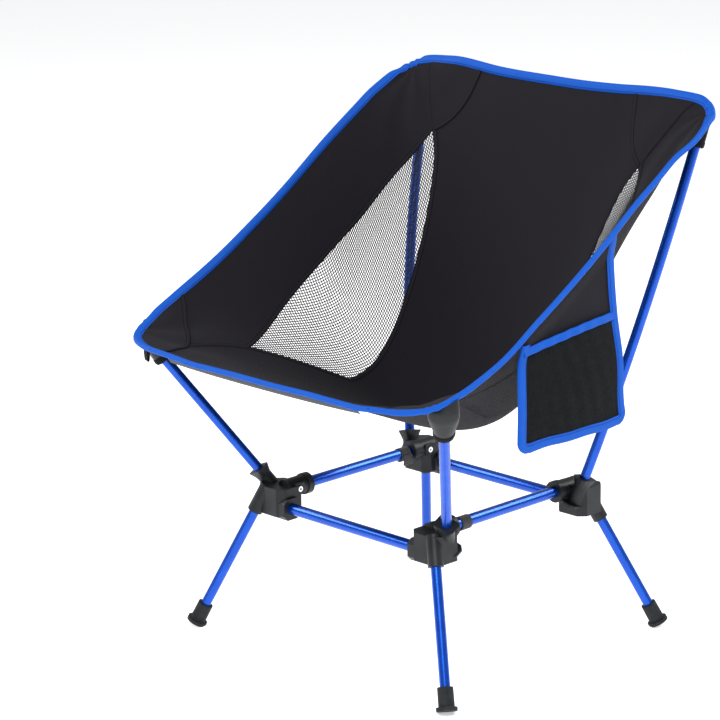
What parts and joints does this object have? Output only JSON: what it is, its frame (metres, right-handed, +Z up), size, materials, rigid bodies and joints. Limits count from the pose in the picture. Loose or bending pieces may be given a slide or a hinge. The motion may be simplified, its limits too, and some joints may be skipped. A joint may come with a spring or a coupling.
{
  "type": "folding camp chair",
  "caption": "Ultralight folding backpacking chair: a sewn bucket seat hung from four blue poles on moulded hubs with splayed legs and a side pocket.",
  "frame": {"origin": "on the ground, under the middle of the chair's outline", "axes": "+Z up, the sitter faces -Y, the sitter's left hand is at +X"},
  "size_m": [0.5521, 0.5529, 0.6853],
  "materials": {
    "blue_tube": "anodised satin",
    "bare_aluminium": "satin",
    "rivet_steel": "polished",
    "hub_nylon": "moulded, fine grain",
    "tip_plastic": "moulded",
    "foot_rubber": "matt",
    "elastic_cord": "braided",
    "seat_cloth": "plain weave polyester",
    "window_net": "open square net",
    "pocket_net": "fine net",
    "blue_binding": "woven tape",
    "coated_fabric": "coated, glossy",
    "webbing": "woven tape"
  },
  "bodies": {
    "frame": {"front_cross_bar": "blue_tube", "front_hub_left": "hub_nylon", "front_hub_right": "hub_nylon", "front_leg_cord_left": "elastic_cord", "front_leg_cord_right": "elastic_cord", "front_pole_left": "blue_tube", "front_pole_right": "blue_tube", "front_pole_tip_left": "tip_plastic", "front_pole_tip_right": "tip_plastic", "rear_cross_bar": "blue_tube", "rear_hub_left": "hub_nylon", "rear_hub_right": "hub_nylon", "rear_leg_cord_left": "elastic_cord", "rear_leg_cord_right": "elastic_cord", "rear_pole_ferrule_left": "bare_aluminium", "rear_pole_ferrule_right": "bare_aluminium", "rear_pole_lower_left": "blue_tube", "rear_pole_lower_right": "blue_tube", "rear_pole_tip_left": "tip_plastic", "rear_pole_tip_right": "tip_plastic", "rear_pole_upper_left": "blue_tube", "rear_pole_upper_right": "blue_tube", "rivets": "rivet_steel", "side_bar_left": "blue_tube", "side_bar_right": "blue_tube"},
    "seat": {"edge_binding": "blue_binding", "front_corner_patch_left": "seat_cloth", "front_corner_patch_right": "seat_cloth", "front_hem_tape": "coated_fabric", "front_tip_pocket_left": "coated_fabric", "front_tip_pocket_right": "coated_fabric", "mesh_window_left": "window_net", "mesh_window_right": "window_net", "pull_tab": "webbing", "rear_corner_patch_left": "seat_cloth", "rear_corner_patch_right": "seat_cloth", "rear_tip_pocket_left": "coated_fabric", "rear_tip_pocket_right": "coated_fabric", "seat_centre_panel": "seat_cloth", "seat_wing_left": "seat_cloth", "seat_wing_right": "seat_cloth"},
    "side_pocket": {"pocket_panel": "seat_cloth", "pocket_pouch": "pocket_net", "pocket_binding": "blue_binding"},
    "front_leg_left_body": {"front_leg_left": "blue_tube", "front_foot_left": "foot_rubber"},
    "front_leg_right_body": {"front_leg_right": "blue_tube", "front_foot_right": "foot_rubber"},
    "rear_leg_left_body": {"rear_leg_left": "blue_tube", "rear_foot_left": "foot_rubber"},
    "rear_leg_right_body": {"rear_leg_right": "blue_tube", "rear_foot_right": "foot_rubber"},
    "strap_left": {"storage_strap_left": "webbing"},
    "strap_right": {"storage_strap_right": "webbing"}
  },
  "joints": [
    {"name": "front_leg_left_pull", "type": "slide", "parent": "frame", "child": "front_leg_left_body", "axis": [0.37, -0.2822, -0.8851], "range_m": [0, 0.045], "stiffness_N_per_m": 150, "springref_m": -0.05, "deforming": ["front_leg_cord_left"]},
    {"name": "front_leg_right_pull", "type": "slide", "parent": "frame", "child": "front_leg_right_body", "axis": [-0.37, -0.2822, -0.8851], "range_m": [0, 0.045], "stiffness_N_per_m": 150, "springref_m": -0.05, "deforming": ["front_leg_cord_right"]},
    {"name": "rear_leg_left_pull", "type": "slide", "parent": "frame", "child": "rear_leg_left_body", "axis": [0.3277, 0.3356, -0.8832], "range_m": [0, 0.055], "stiffness_N_per_m": 150, "springref_m": -0.05, "deforming": ["rear_leg_cord_left"]},
    {"name": "rear_leg_right_pull", "type": "slide", "parent": "frame", "child": "rear_leg_right_body", "axis": [-0.3277, 0.3356, -0.8832], "range_m": [0, 0.055], "stiffness_N_per_m": 150, "springref_m": -0.05, "deforming": ["rear_leg_cord_right"]},
    {"name": "seat_lift", "type": "slide", "parent": "frame", "child": "seat", "axis": [0, 0, 1], "range_m": [0, 0.3], "deforming": ["front_tip_pocket_left", "front_tip_pocket_right", "rear_tip_pocket_left", "rear_tip_pocket_right"]},
    {"name": "side_pocket_swing", "type": "hinge", "parent": "seat", "child": "side_pocket", "pos_m": [0.2646, -0.098, 0.43817], "axis": [0, -0.8662, -0.4997], "range_deg": [0, 60]},
    {"name": "strap_left_slide", "type": "slide", "parent": "frame", "child": "strap_left", "axis": [0, 1, 0], "range_m": [0, 0.15]},
    {"name": "strap_right_slide", "type": "slide", "parent": "frame", "child": "strap_right", "axis": [0, -1, 0], "range_m": [0, 0.15]}
  ]
}
